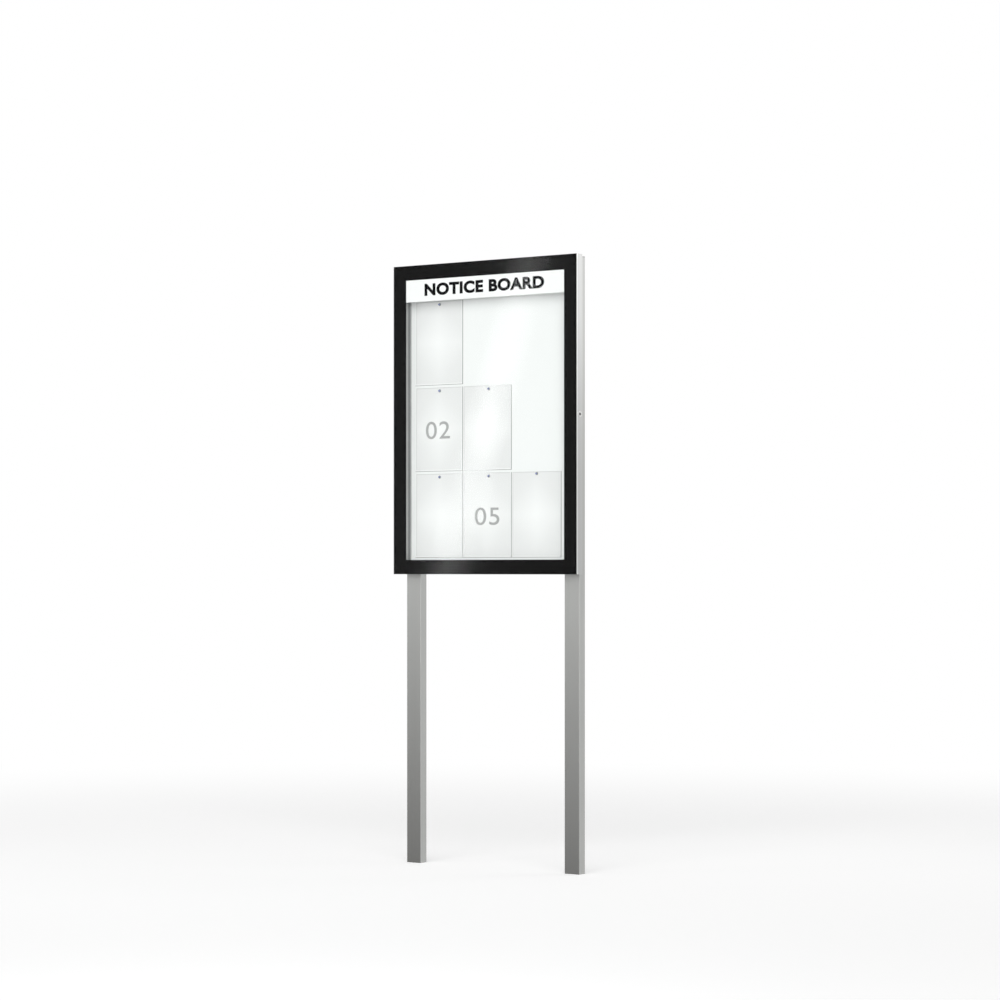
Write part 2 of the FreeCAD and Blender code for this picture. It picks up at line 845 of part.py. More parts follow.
def header():
    inner = "(profile_width + fit_gap)"
    back = f"({PRINT_BACK} + header_thickness)"
    z_high = f"({Z_HIGH} - {inner})"
    panel = box(
        "header_panel",
        (f"{inner} - {X_SIDE}", f"{X_SIDE} - {inner}"),
        (depth(PRINT_BACK), depth(back)),
        (HEADER_LOW, z_high),
    )
    node(panel)
    # Each bracket is an angle: one leg on the panel's back, one on the door's inner leg
    brackets = []
    margin = "bracket_width"
    for name, side in (("left", -1), ("right", 1)):
        wall = f"({X_SIDE} - profile_width)"
        reach = f"({wall} - bracket_width)"
        legs = []
        for part, near, low, high in (
            ("flat", reach, back, f"{back} + bracket_thickness"),
            ("side", f"({wall} - bracket_thickness)", back, "door_leg_reach"),
        ):
            ends = (near, wall) if side > 0 else (f"0 - {wall}", f"0 - {near}")
            legs.append(box(
                f"bracket_{name}_{part}",
                ends,
                (depth(low), depth(high)),
                (f"{HEADER_LOW} + {margin}", f"{z_high} - {margin}"),
            ))
        brackets.append(joined(f"bracket_{name}", legs))
    group = doc.addObject("Part::Compound", "header_brackets")
    group.Label = "header_brackets"
    group.Links = brackets
    node(group)


# Hinges: a door leaf with the middle knuckle, a case leaf with the outer two, and a pin


def hinge_shape(kind):
    """One leaf about the hinge's own origin: its pin along Z, the seam at Y zero."""
    half = "(hinge_height / 2)"
    middle = "(hinge_height / 6)"
    reach = "(hinge_knuckle_radius + hinge_side_gap)"
    if kind == "door":
        plate_x = (f"{reach} - hinge_leaf_thickness", reach)
        plates = [
            ("sheet", (f"0 - {reach} - hinge_door_leaf_width", f"0 - {reach}"), (f"0 - {half}", half)),
            ("tongue", (f"0 - {reach}", "0 - seam_gap"), (f"0 - {middle}", middle)),
        ]
        knuckles = [(f"0 - {middle}", middle)]
    else:
        wall = f"({reach} + rear_inset)"
        plate_x = (f"{wall} - hinge_leaf_thickness", wall)
        start = f"({CASE_LEAF_START} - door_depth)"
        plates = [("sheet", (start, f"{start} + hinge_case_leaf_width"), (f"0 - {half}", half))]
        gap = f"({middle} + hinge_side_gap)"
        knuckles = [(f"0 - {half}", f"0 - {gap}"), (gap, half)]
    solids = [box(f"{kind}_leaf_{name}", plate_x, y, z) for name, y, z in plates]
    for i, span in enumerate(knuckles):
        solids.append(rod(f"{kind}_knuckle{i}", "z", "hinge_knuckle_radius", span))
        if kind == "case":
            neck = f"({CASE_LEAF_START} - door_depth)"
            solids.append(box(
                f"case_neck{i}",
                ("0", plate_x[1]),
                (neck, f"{neck} + hinge_leaf_thickness"),
                span,
            ))
    blank = joined(f"{kind}_leaf_blank", solids)
    tools = [rod(f"{kind}_bore", "z", "hinge_pin_radius + hinge_pin_gap", (f"0 - {half}", half))]
    screw_y = DOOR_SCREW_DEPTH if kind == "door" else CASE_SCREW_DEPTH
    for i, end in enumerate(SIDES):
        z = f"{end} * hinge_screw_spacing / 2"
        start = plate_x[0]
        tools += sink(f"{kind}_leaf_sink{i}", "x", 1, start, f"{screw_y} - door_depth", z)
    return cut(f"{kind}_leaf_pattern", blank, tools)


def hinges():
    for kind in ("door", "case"):
        pattern = hinge_shape(kind)
        for name in HINGES:
            where = {"x": HINGE_X, "y": HINGE_Y, "z": HINGE_HEIGHTS[name]}
            node(copies(f"hinge_{name}_{kind}_leaf", pattern, [where]))
        screw = screw_pattern(f"hinge_{kind}_screw_pattern", "screw_length")
        inset = "0" if kind == "door" else "rear_inset"
        depth_text = DOOR_SCREW_DEPTH if kind == "door" else CASE_SCREW_DEPTH
        node(copies(f"hinge_{kind}_screws", screw, [
            {
                "x": f"{inset} - {X_SIDE} - hinge_leaf_thickness",
                "y": depth(depth_text),
                "z": f"{HINGE_HEIGHTS[name]} + {end} * hinge_screw_spacing / 2",
                "axis": (0, 1, 0),
                "angle": 90,
            }
            for name in HINGES
            for end in SIDES
        ]))
    for name in HINGES:
        low = f"({HINGE_HEIGHTS[name]} - hinge_height / 2)"
        high = f"({HINGE_HEIGHTS[name]} + hinge_height / 2)"
        ends = (high, f"{high} + hinge_pin_head_height")
        shank = rod(f"pin_{name}_shank", "z", "hinge_pin_radius", (low, high), HINGE_X, HINGE_Y)
        head = rod(f"pin_{name}_head", "z", "hinge_pin_head_radius", ends, HINGE_X, HINGE_Y)
        node(joined(f"hinge_{name}_pin", [shank, head]))


# Lock: barrel, nut, turning core, hook cam and the keeper on the case

LOCK_Y = depth("door_depth / 2")
BARREL_END = f"({X_SIDE} - lock_length)"
CAM_SPAN = (f"{BARREL_END} - fit_gap - cam_thickness", f"{BARREL_END} - fit_gap")
KEEPER_U = "(lock_length + cam_thickness + 4 * fit_gap + keeper_plate)"
KEEPER_SCREW_U = f"({KEEPER_U} + keeper_foot_width / 2)"
KEEPER_SCREW_Z = "(keeper_height / 2 - screw_head_radius - keeper_plate)"


def lock_rod(name, radius, span):
    return rod(name, "x", radius, span, y=LOCK_Y, z=Z_MID)


def sector(name, radius, start, sweep, span):
    """A slice of a disc about the lock's axis, its angles counted from straight back when shut."""
    piece = doc.addObject("Part::Cylinder", name)
    bind(piece, "Radius", radius)
    bind(piece, "Height", f"({span[1]}) - ({span[0]})")
    piece.Angle = sweep
    along_x = FreeCAD.Rotation(FreeCAD.Vector(1, 1, 1), 120)
    turn = FreeCAD.Rotation(FreeCAD.Vector(1, 0, 0), start + LOCK_TURN)
    piece.Placement = FreeCAD.Placement(FreeCAD.Vector(), turn * along_x)
    for axis, text in (("x", span[0]), ("y", LOCK_Y), ("z", Z_MID)):
        bind(piece, f"Placement.Base.{axis}", text)
    return piece


def lock():
    face = f"({X_SIDE} + lock_head_height)"
    barrel = joined("barrel_blank", [
        lock_rod("barrel_head", "lock_head_radius", (X_SIDE, face)),
        lock_rod("barrel_body", "lock_radius", (BARREL_END, X_SIDE)),
    ])
    bore = lock_rod("barrel_bore", "core_radius + core_gap", (BARREL_END, face))
    node(cut("lock_barrel", barrel, [bore]))

    nut = new_body("lock_nut")
    shape = new_sketch(nut, "YZ_Plane", "lock_nut_shape")
    hexagon(shape, "lock_nut_flats")
    circle(shape, "0", "0", "lock_radius + core_gap")
    pad(nut, shape, "lock_nut_thickness", backwards=True)
    node(place(nut, f"{X_SIDE} - profile_wall", LOCK_Y, Z_MID))

    tail = f"({CAM_SPAN[0]} + core_tail_gap)"
    core_face = f"({face} - core_recess)"
    half = "(core_tail / 2)"
    square_y = (f"{LOCK_Y} - {half}", f"{LOCK_Y} + {half}")
    square_z = (f"{Z_MID} - {half}", f"{Z_MID} + {half}")
    core = joined("core_blank", [
        lock_rod("core_round", "core_radius", (f"{BARREL_END} - fit_gap", core_face)),
        box("core_square", (tail, f"{BARREL_END} - fit_gap"), square_y, square_z),
    ])
    keyway = box(
        "keyway",
        (f"{core_face} - keyway_depth", f"{core_face} + {OVERCUT}"),
        (f"{LOCK_Y} - keyway_width / 2", f"{LOCK_Y} + keyway_width / 2"),
        (f"{Z_MID} - keyway_height / 2", f"{Z_MID} + keyway_height / 2"),
    )
    thread = lock_rod("core_thread", "screw_radius + core_gap", (tail, f"{tail} + screw_length"))
    node(cut("lock_plug", core, [keyway, thread]))

    hook = cut(
        "hook_band",
        sector("hook_disc", "hook_outer_radius", HOOK_START, HOOK_END - HOOK_START, CAM_SPAN),
        [lock_rod("hook_clear", "hook_inner_radius", CAM_SPAN)],
    )
    arm = sector("cam_arm", "hook_outer_radius", HOOK_END - HOOK_ARM, HOOK_ARM, CAM_SPAN)
    hub = lock_rod("cam_hub", "cam_hub_radius", CAM_SPAN)
    seat = box(
        "cam_seat",
        CAM_SPAN,
        (f"{square_y[0]} - core_gap", f"{square_y[1]} + core_gap"),
        (f"{square_z[0]} - core_gap", f"{square_z[1]} + core_gap"),
    )
    node(cut("lock_cam", joined("cam_blank", [hook, arm, hub]), [seat]))

    head = f"({CAM_SPAN[0]} - screw_head_height)"
    tip = f"({tail} + screw_length - cam_screw_end_gap)"
    node(joined("cam_screw", [
        lock_rod("cam_screw_head", "cam_screw_head_radius", (head, CAM_SPAN[0])),
        lock_rod("cam_screw_shank", "screw_radius", (CAM_SPAN[0], tip)),
    ]))


def keeper():
    """A steel angle on the case's front web, with a stud that the hook goes behind."""
    web = Y_SEAM
    ear_x = (f"{X_SIDE} - {KEEPER_U}", f"{X_SIDE} - {KEEPER_U} + keeper_plate")
    foot_x = (f"{X_SIDE} - {KEEPER_U} - keeper_foot_width", ear_x[1])
    stud_y = f"({LOCK_Y} + keeper_offset)"
    ear = box(
        "keeper_ear",
        ear_x,
        (f"{stud_y} - 2 * keeper_stud_radius", web),
        (f"{Z_MID} - keeper_ear_height / 2", f"{Z_MID} + keeper_ear_height / 2"),
    )
    foot = box(
        "keeper_foot",
        foot_x,
        (f"{web} - keeper_plate", web),
        (f"{Z_MID} - keeper_height / 2", f"{Z_MID} + keeper_height / 2"),
    )
    stud_end = f"({BARREL_END} - fit_gap / 2)"
    stud = rod(
        "keeper_stud",
        "x",
        "keeper_stud_radius",
        (ear_x[0], stud_end),
        y=stud_y,
        z=Z_MID,
    )
    tools = []
    spots = []
    for i, end in enumerate(SIDES):
        x = f"({X_SIDE} - {KEEPER_SCREW_U})"
        z = f"{Z_MID} + {end} * {KEEPER_SCREW_Z}"
        tools += sink(f"keeper_sink{i}", "y", 1, x, f"{web} - keeper_plate", z)
        spots.append({"x": x, "y": f"{web} - keeper_plate", "z": z, "axis": (1, 0, 0), "angle": -90})
    node(cut("lock_keeper", joined("keeper_blank", [ear, foot, stud]), tools))
    screw = screw_pattern("keeper_screw_pattern", "screw_length")
    node(copies("keeper_screws", screw, spots))


# Paper sheets, each under a magnet. The window takes three columns and three rows of them,
# hung down from the header, whose lower edge the top row is tucked behind. The magnets are set
# by hand, a little to the right of each sheet's middle. Each is a lacquered knob on a steel plate.

COLUMNS = ("left", "centre", "right")
ROWS = ("top", "middle", "bottom")
HUNG = (
    ("left", "top"),
    ("left", "middle"),
    ("left", "bottom"),
    ("centre", "middle"),
    ("centre", "bottom"),
    ("right", "bottom"),
)


def notices():
    magnet = rod("magnet_pattern", "y", "magnet_radius", ("0", "magnet_height"))
    plate_span = ("magnet_height", "magnet_height + magnet_plate_thickness")
    plate = rod("magnet_plate_pattern", "y", "magnet_plate_radius", plate_span)
    spots = []
    for column, row in HUNG:
        across = f"{COLUMNS.index(column)} * (sheet_width + sheet_gap_x)"
        down = f"{ROWS.index(row)} * (sheet_height + sheet_gap_z)"
        left = f"(sheet_margin_left - {X_SIDE} + {across})"
        high = f"({HEADER_LOW} + sheet_tuck - {down})"
        paper = box(
            f"notice_{column}_{row}",
            (left, f"{left} + sheet_width"),
            (depth(f"{BOARD} - sheet_thickness"), depth(BOARD)),
            (f"{high} - sheet_height", high),
        )
        node(paper)
        spots.append({
            "x": f"{left} + sheet_width / 2 + magnet_shift_{column}",
            "y": depth(f"{BOARD} - sheet_thickness - magnet_plate_thickness - magnet_height"),
            "z": f"{high} - magnet_drop_{column}",
        })
    for label, pattern in (("notice_magnets", magnet), ("magnet_plates", plate)):
        source = doc.addObject("Part::Compound", f"{label}_source")
        source.Links = [pattern]
        node(copies(label, source, spots))


posts()
post_fixings()
rear_frame()
corner_cleats(
    "case_cleats",
    "rear_inset",
    "(profile_wall + fit_gap)",
    "(profile_wall + rear_chamber_width - fit_gap)",
    "(door_depth + profile_wall + fit_gap)",
    f"({SHEET_BACK} - profile_wall - fit_gap)",
)
rear_closing()
case_seal()
keeper()
notices()
door_frame()
corner_cleats(
    "door_cleats",
    "0",
    f"({CHAMBER_START} + profile_wall + fit_gap)",
    "(profile_width - profile_wall - fit_gap)",
    f"({FLANGE_BACK} + fit_gap)",
    f"({RIB_BACK} - profile_wall - fit_gap)",
)
glazing()
header()
hinges()
lock()

doc.recompute()

# Every object has to be sound before anything is written

for thing in doc.Objects:
    if {"Invalid", "Error"} & set(thing.State):
        raise ValueError(f"{thing.Label} failed: {thing.State}")
for label, thing in NODES.items():
    shape = thing.Shape
    if shape.isNull() or not shape.isValid() or not shape.Solids:
        raise ValueError(f"{label} has no sound shape")

os.makedirs("parts", exist_ok=True)
for label, thing in NODES.items():
    thing.Shape.exportStep(f"parts/{label}.step")
    corner = thing.Shape.BoundBox
    print(
        f"{label:26s} solids {len(thing.Shape.Solids):2d} volume {thing.Shape.Volume:12.1f}"
        f"  x {corner.XMin:8.2f} {corner.XMax:8.2f}  y {corner.YMin:7.2f} {corner.YMax:7.2f}"
        f"  z {corner.ZMin:8.2f} {corner.ZMax:8.2f}"
    )
print(len(NODES), "nodes")
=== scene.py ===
import json
import math

import bmesh
import bpy
from mathutils import Matrix, Vector


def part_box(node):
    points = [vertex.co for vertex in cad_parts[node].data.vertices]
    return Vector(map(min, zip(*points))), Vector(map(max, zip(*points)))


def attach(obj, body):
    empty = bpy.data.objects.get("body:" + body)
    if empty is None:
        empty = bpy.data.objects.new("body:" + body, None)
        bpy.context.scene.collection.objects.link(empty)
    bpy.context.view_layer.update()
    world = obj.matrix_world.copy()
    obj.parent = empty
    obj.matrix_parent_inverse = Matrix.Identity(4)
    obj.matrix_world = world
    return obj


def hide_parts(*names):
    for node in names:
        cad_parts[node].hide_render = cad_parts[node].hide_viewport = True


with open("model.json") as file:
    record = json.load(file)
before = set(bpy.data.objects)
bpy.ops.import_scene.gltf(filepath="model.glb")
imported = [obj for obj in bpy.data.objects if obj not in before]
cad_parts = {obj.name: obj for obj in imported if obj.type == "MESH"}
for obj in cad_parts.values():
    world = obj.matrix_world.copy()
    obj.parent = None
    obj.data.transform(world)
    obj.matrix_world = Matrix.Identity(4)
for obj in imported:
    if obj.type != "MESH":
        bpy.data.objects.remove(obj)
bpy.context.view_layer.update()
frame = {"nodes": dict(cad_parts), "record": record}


# Posts. Two rectangular aluminium tubes, natural anodised, cut to length and set in the ground.
# They carry the case from behind. The drawing die leaves fine lines along them, and their front
# and back are painted darker towards the foot, a painted shade.

POST_GREY = (0.44, 0.445, 0.435)
# The foot grey is a painted shade, darkest at the foot of the front and back.
POST_FOOT_SHADE = (0.165, 0.165, 0.16)
POST_ROUGHNESS = 0.5
FOOT_SHADE_TOP = 1.5
LINES_UPRIGHT = (1, 1, 0.01)
LINE_DEPTH = 0.02
LINE_REACH = 0.0005
LINE_GLOSS = 0.06
LINE_DULLNESS = 0.08

# The mix node's sockets for colours.
MIX_FIRST = 6
MIX_SECOND = 7
MIX_RESULT = 2


def add_node(tree, kind, **settings):
    """A shader node with its settings, each an input's name or one of the node's own."""
    node = tree.nodes.new(kind)
    for name, value in settings.items():
        if name in node.inputs:
            node.inputs[name].default_value = value
        else:
            setattr(node, name, value)
    return node


def join(tree, *ends):
    """Links, given as an output and the input it goes into, and so on in pairs."""
    for out, into in zip(ends[::2], ends[1::2]):
        tree.links.new(out, into)


def calculated(tree, operation, *values):
    """The result of a sum or a comparison on one or two values, each a number or an output."""
    node = add_node(tree, "ShaderNodeMath", operation=operation)
    for socket, value in zip(node.inputs, values):
        if isinstance(value, (int, float)):
            socket.default_value = value
        else:
            join(tree, value, socket)
    return node.outputs[0]


def sides_of(tree, source):
    """The X, Y and Z of a point in the piece's own coordinates, or of its normal."""
    place = add_node(tree, "ShaderNodeTexCoord")
    sides = add_node(tree, "ShaderNodeSeparateXYZ")
    join(tree, place.outputs[source], sides.inputs[0])
    return sides.outputs


def spread(tree, value, low, high, start=0.0, end=1.0):
    """The value moved from start and end to low and high."""
    node = add_node(tree, "ShaderNodeMapRange")
    for name, number in (("From Min", start), ("From Max", end), ("To Min", low), ("To Max", high)):
        node.inputs[name].default_value = number
    join(tree, value, node.inputs["Value"])
    return node.outputs["Result"]


def blend_colours(tree, factor, low, high):
    """The colour between two, each a plain colour or an output."""
    mix = add_node(tree, "ShaderNodeMix", data_type="RGBA")
    join(tree, factor, mix.inputs["Factor"])
    for number, colour in ((MIX_FIRST, low), (MIX_SECOND, high)):
        if isinstance(colour, tuple):
            mix.inputs[number].default_value = (*colour, 1)
        else:
            join(tree, colour, mix.inputs[number])
    return mix.outputs[MIX_RESULT]


def new_finish(name, colour, roughness, metallic=0.0):
    """A material, its node tree and its shader."""
    material = bpy.data.materials.new(name)
    material.use_nodes = True
    shader = material.node_tree.nodes["Principled BSDF"]
    shader.inputs["Base Color"].default_value = (*colour, 1)
    shader.inputs["Roughness"].default_value = roughness
    shader.inputs["Metallic"].default_value = metallic
    return material, material.node_tree, shader


def roughen(tree, shader, height, strength, reach):
    """A slight relief in the finish, that follows the height."""
    bump = add_node(tree, "ShaderNodeBump", Strength=strength, Distance=reach)
    join(tree, height, bump.inputs["Height"], bump.outputs["Normal"], shader.inputs["Normal"])


def new_group(name, asked, given):
    """A node group, the values that it is asked with, and the ones that it gives."""
    tree = bpy.data.node_groups.new(name, "ShaderNodeTree")
    for way, sockets in (("INPUT", asked), ("OUTPUT", given)):
        for socket, kind in sockets.items():
            tree.interface.new_socket(socket, in_out=way, socket_type=f"NodeSocket{kind}")
    start = tree.nodes.new("NodeGroupInput")
    end = tree.nodes.new("NodeGroupOutput")
    return tree, start.outputs, end.inputs


def streak_group():
    """Fine lines and broad patches on a surface, stretched along the way the metal was drawn."""
    tree, asked, given = new_group(
        "drawn_streaks",
        {"Stretch": "Vector", "Fineness": "Float"},
        {"Lines": "Float", "Patches": "Float"},
    )
    place = add_node(tree, "ShaderNodeTexCoord")
    stretch = add_node(tree, "ShaderNodeVectorMath", operation="MULTIPLY")
    lines = add_node(tree, "ShaderNodeTexNoise", Detail=3.0, Roughness=0.6)
    patches = add_node(tree, "ShaderNodeTexNoise", Scale=3.0, Detail=2.0)
    join(
        tree,
        place.outputs["Object"], stretch.inputs[0],
        asked["Stretch"], stretch.inputs[1],
        stretch.outputs[0], lines.inputs["Vector"],
        asked["Fineness"], lines.inputs["Scale"],
        place.outputs["Object"], patches.inputs["Vector"],
        lines.outputs["Fac"], given["Lines"],
        patches.outputs["Fac"], given["Patches"],
    )
    return tree


STREAKS = streak_group()


def drawn_metal(name, colour, stretch, roughness, contrast=0.06, fineness=60.0, painted_light=None):
    """Satin metal with lines along the way it was drawn, and a slight change of tone.

    The function given for painted light takes the tone and gives it back with a painted shade or a
    painted highlight on it.
    """
    material, tree, shader = new_finish(name, colour, roughness, 1.0)
    streaks = add_node(
        tree, "ShaderNodeGroup", node_tree=STREAKS, Stretch=stretch, Fineness=fineness
    )
    low = tuple(c * (1 - contrast) for c in colour)
    high = tuple(c * (1 + contrast) for c in colour)
    tone = blend_colours(tree, streaks.outputs["Patches"], low, high)
    if painted_light:
        tone = painted_light(tree, tone)
    lines = streaks.outputs["Lines"]
    join(
        tree,
        tone, shader.inputs["Base Color"],
        spread(tree, lines, roughness - LINE_GLOSS, roughness + LINE_DULLNESS),
        shader.inputs["Roughness"],
    )
    roughen(tree, shader, lines, LINE_DEPTH, LINE_REACH)
    return material


def painted_foot_shade(tree, tone):
    """The tone with a painted shade towards the foot, on the post's front and back only."""
    fall = spread(tree, sides_of(tree, "Object")["Z"], 1.0, 0.0, 0.0, FOOT_SHADE_TOP)
    broad = calculated(tree, "ABSOLUTE", sides_of(tree, "Normal")["Y"])
    return blend_colours(tree, calculated(tree, "MULTIPLY", fall, broad), tone, POST_FOOT_SHADE)


def repaint(node, material):
    """A CAD node shown as it is, in a finish of its own."""
    for slot in frame["nodes"][node].material_slots:
        slot.material = material


post_finish = drawn_metal(
    "post_anodised", POST_GREY, LINES_UPRIGHT, POST_ROUGHNESS, painted_light=painted_foot_shade
)
for side in ("left", "right"):
    repaint(f"post_{side}", post_finish)


# Plugs. Grey polyethylene caps, moulded with a fine grain and pressed into the top ends of the
# posts to keep the rain out.

PLUG_GREY = (0.42, 0.42, 0.41)
PLUG_EDGE = 0.0006
WELD = 1e-6
FLAT_WITHIN = math.radians(2)
SHARP_OVER = math.radians(40)


def grain_group(name, texture, measure, **settings):
    """An even grain on a surface: its height, and a roughness that follows it."""
    tree, asked, given = new_group(
        name,
        {"Scale": "Float", "Smooth": "Float", "Rough": "Float"},
        {"Height": "Float", "Roughness": "Float"},
    )
    place = add_node(tree, "ShaderNodeTexCoord")
    grain = add_node(tree, texture, **settings)
    rough = add_node(tree, "ShaderNodeMapRange")
    join(
        tree,
        place.outputs["Object"], grain.inputs["Vector"],
        asked["Scale"], grain.inputs["Scale"],
        grain.outputs[measure], rough.inputs["Value"],
        asked["Smooth"], rough.inputs["To Min"],
        asked["Rough"], rough.inputs["To Max"],
        grain.outputs[measure], given["Height"],
        rough.outputs["Result"], given["Roughness"],
    )
    return tree


FINE_GRAIN = grain_group("fine_grain", "ShaderNodeTexNoise", "Fac", Detail=2.0)


def grained(name, colour, smooth, rough, scale, depth=0.0, reach=0.0, group=FINE_GRAIN):
    """A finish whose grain shows in its roughness, from smooth to rough, and as a relief."""
    material, tree, shader = new_finish(name, colour, smooth)
    grain = add_node(tree, "ShaderNodeGroup", node_tree=group, Scale=scale, Smooth=smooth, Rough=rough)
    if rough > smooth:
        join(tree, grain.outputs["Roughness"], shader.inputs["Roughness"])
    if depth:
        roughen(tree, shader, grain.outputs["Height"], depth, reach)
    return material, shader


def set_up(name, data):
    """A piece, a lamp or a camera in the scene, with a piece's place in its mesh."""
    piece = bpy.data.objects.new(name, data)
    bpy.context.scene.collection.objects.link(piece)
    return piece


def softened(node, material, width, segments=2):
    """A piece in place of a CAD node, the same but with its sharp edges rounded off."""
    shape = bmesh.new()
    shape.from_mesh(frame["nodes"][node].data)
    bmesh.ops.remove_doubles(shape, verts=shape.verts, dist=WELD)
    bmesh.ops.dissolve_limit(
        shape, angle_limit=FLAT_WITHIN, verts=shape.verts, edges=shape.edges
    )
    mesh = bpy.data.meshes.new(f"{node}_rounded")
    shape.to_mesh(mesh)
    shape.free()
    mesh.materials.append(material)
    piece = set_up(f"{node}_rounded", mesh)
    edges = piece.modifiers.new("rounded_edges", "BEVEL")
    edges.width = width
    edges.segments = segments
    edges.limit_method = "ANGLE"
    edges.angle_limit = SHARP_OVER
    edges.use_clamp_overlap = True
    edges.harden_normals = True
    body = next(b for b, names in frame["record"]["behaviour"]["bodies"].items() if node in names)
    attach(piece, body)
    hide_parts(node)
    return piece


plug_finish, _ = grained(
    "plug_plastic", PLUG_GREY, smooth=0.5, rough=0.5, scale=900.0, depth=0.15, reach=0.0003
)
softened("post_plugs", plug_finish, PLUG_EDGE)


# Frames. Door and rear case are mitred from natural anodised aluminium profile, with a satin
# face and the die's fine lines along each length. The door's front arris is painted lighter, a
# painted highlight.

FRAME_GREY = (0.45, 0.452, 0.447)
FRAME_ROUGHNESS = 0.4
FRAME_EDGE = 0.0004
LINES_ACROSS = (0.01, 1, 1)
# The arris grey is a painted highlight along the door's front edge.
ARRIS_HIGHLIGHT_GREY = (0.64, 0.645, 0.64)
ARRIS_DEPTH = 0.0015

arris_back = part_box("door_profile_right")[0].y + ARRIS_DEPTH


def painted_arris_highlight(tree, tone):
    """The tone with a painted highlight on the door's front arris."""
    highlight_band = calculated(tree, "LESS_THAN", sides_of(tree, "Object")["Y"], arris_back)
    return blend_colours(tree, highlight_band, tone, ARRIS_HIGHLIGHT_GREY)


across_finish = drawn_metal(
    "frame_anodised_across", FRAME_GREY, LINES_ACROSS, FRAME_ROUGHNESS, painted_light=painted_arris_highlight
)
upright_finish = drawn_metal(
    "frame_anodised_upright", FRAME_GREY, LINES_UPRIGHT, FRAME_ROUGHNESS, painted_light=painted_arris_highlight
)
for part in ("door", "case"):
    for side in ("bottom", "top"):
        softened(f"{part}_profile_{side}", across_finish, FRAME_EDGE)
    for side in ("left", "right"):
        softened(f"{part}_profile_{side}", upright_finish, FRAME_EDGE)


# Corner cleats and header brackets. Flat aluminium and plated steel angles, as they come
# from the saw and the press, hidden in the profiles and behind the header.

CLEAT_GREY = (0.62, 0.62, 0.62)
CLEAT_LINES = (1, 0.05, 1)
PLATED_GREY = (0.60, 0.61, 0.62)
PLATED_LINES = (1, 1, 0.2)
BRACKET_EDGE = 0.0002

cleat_finish = drawn_metal("mill_aluminium", CLEAT_GREY, CLEAT_LINES, roughness=0.45)
plated_finish = drawn_metal(
    "plated_steel", PLATED_GREY, PLATED_LINES, roughness=0.32, contrast=0.1
)
for node in ("case_cleats", "door_cleats"):
    repaint(node, cleat_finish)
softened("header_brackets", plated_finish, BRACKET_EDGE)


# Rear sheet and backing bars. A rolled aluminium sheet closes the case from behind, and two
# drilled steel bars and a third bar between it and the board take the bolts.

SHEET_GREY = (0.64, 0.64, 0.64)
SHEET_LINES = (0.02, 1, 1)

sheet_finish = drawn_metal(
    "rolled_sheet", SHEET_GREY, SHEET_LINES, roughness=0.40, contrast=0.05, fineness=40.0
)
repaint("back_sheet", sheet_finish)
for side in ("left", "middle", "right"):
    repaint(f"backing_bar_{side}", plated_finish)


# Bolts, washers, sleeves and screws. Stainless steel fasteners, turned and pressed, with a
# slightly uneven tone from handling.

STEEL_GREY = (0.56, 0.56, 0.55)
NO_LINES = (1, 1, 1)
BOLT_EDGE = 0.0004
WASHER_EDGE = 0.0002

steel_finish = drawn_metal(
    "stainless_steel", STEEL_GREY, NO_LINES, roughness=0.28, contrast=0.08, fineness=400.0
)
softened("post_bolts", steel_finish, BOLT_EDGE)
softened("post_washers", steel_finish, WASHER_EDGE)
for node in (
    "post_sleeves", "back_screws", "keeper_screws", "hinge_case_screws", "hinge_door_screws",
    "cam_screw",
):
    repaint(node, steel_finish)


# Board. A steel sheet that the magnets hold to, powder coated in white, with the coat's faint
# orange peel. It lies in the case on the backing bars.

BOARD_WHITE = (0.90, 0.908, 0.905)
BOARD_SHINE = 0.2

board_finish, shader = grained(
    "white_powder_coat", BOARD_WHITE, smooth=0.2, rough=0.28, scale=700.0, depth=0.05, reach=0.0002
)
shader.inputs["Specular IOR Level"].default_value = BOARD_SHINE
repaint("display_board", board_finish)


# Seal and tape. A grey sponge rubber strip goes round the case opening, where the door's inner
# leg meets it, and a thin foam tape bonds the pane to the door profiles.

SEAL_GREY = (0.20, 0.205, 0.21)
TAPE_GREY = (0.62, 0.63, 0.62)
PORES = grain_group("pores", "ShaderNodeTexVoronoi", "Distance")

seal_finish, _ = grained(
    "sponge_rubber", SEAL_GREY, smooth=0.62, rough=0.85, scale=1500.0, depth=0.3, reach=0.0003,
    group=PORES,
)
repaint("case_seal", seal_finish)
tape_finish, _ = grained(
    "foam_tape", TAPE_GREY, smooth=0.5, rough=0.75, scale=2500.0, group=PORES
)
repaint("bonding_tape", tape_finish)


# Glass. One pane of 4 mm toughened safety glass over the whole front, its edges ground and
# polished. It mirrors most over the black border and little over the window.

GLASS_TINT = (0.99, 0.997, 0.993)
GLASS_REFRACTION = 1.5
LIGHT_TINT = (0.985, 0.995, 0.99, 1)
BORDER_GLOSS = 0.18
WINDOW_GLOSS = 0.01
GLOSS_BLUR = 0.12
GLASS_EDGE = 0.0003
GROUND_EDGE_GREY = (0.84, 0.86, 0.84)
GROUND_EDGE_METAL = 0.85
EDGE_FACING = 0.5
BACK_WITHIN = 0.0001
INK_BITE = 0.00005

window_low, window_high = frame["record"]["physics"]["openings"][0]["box_m"]

glass_finish, tree, shader = new_finish("safety_glass", GLASS_TINT, roughness=0.0)
shader.inputs["IOR"].default_value = GLASS_REFRACTION
shader.inputs["Transmission Weight"].default_value = 1.0
shader.inputs["Specular Tint"].default_value = (0, 0, 0, 1)
shader.inputs["Coat Roughness"].default_value = GLOSS_BLUR

sides = sides_of(tree, "Object")
beside = calculated(tree, "GREATER_THAN", calculated(tree, "ABSOLUTE", sides["X"]), window_high[0])
below = calculated(tree, "LESS_THAN", sides["Z"], window_low[2])
above = calculated(tree, "GREATER_THAN", sides["Z"], window_high[2])
over_border = calculated(tree, "MAXIMUM", beside, calculated(tree, "MAXIMUM", below, above))

